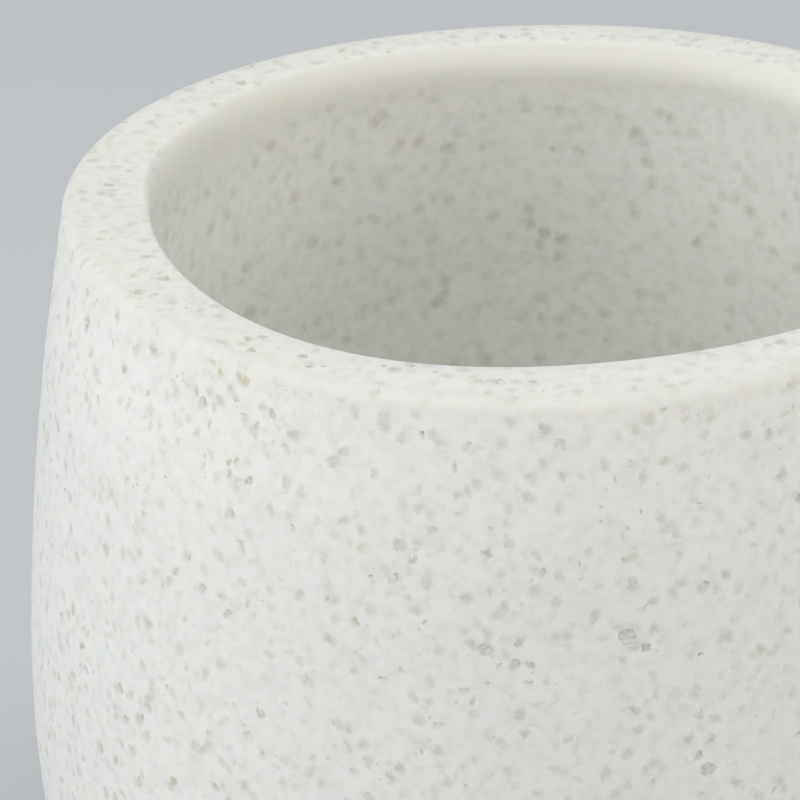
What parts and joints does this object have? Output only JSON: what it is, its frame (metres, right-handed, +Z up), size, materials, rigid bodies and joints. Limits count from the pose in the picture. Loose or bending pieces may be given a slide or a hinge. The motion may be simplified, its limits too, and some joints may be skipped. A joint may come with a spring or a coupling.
{
  "type": "cotton pad box",
  "caption": "Open round barrel-shaped jar of speckled off-white cast stone resin, with a thick wall, a flat soft-edged rim and anti-slip pads under its base.",
  "frame": {"origin": "on the ground under the jar's axis, level with the underside of the anti-slip pads", "axes": "+Z up along the jar's axis of revolution; +X and +Y point between the pads, which stand on the diagonals"},
  "size_m": [0.0994, 0.0994, 0.0953],
  "materials": {
    "stone_resin": "matte",
    "anti_slip_pad": "matte"
  },
  "bodies": {
    "root": {"vessel_body": "stone_resin", "foot_1": "anti_slip_pad", "foot_2": "anti_slip_pad", "foot_3": "anti_slip_pad", "foot_4": "anti_slip_pad"}
  },
  "joints": []
}
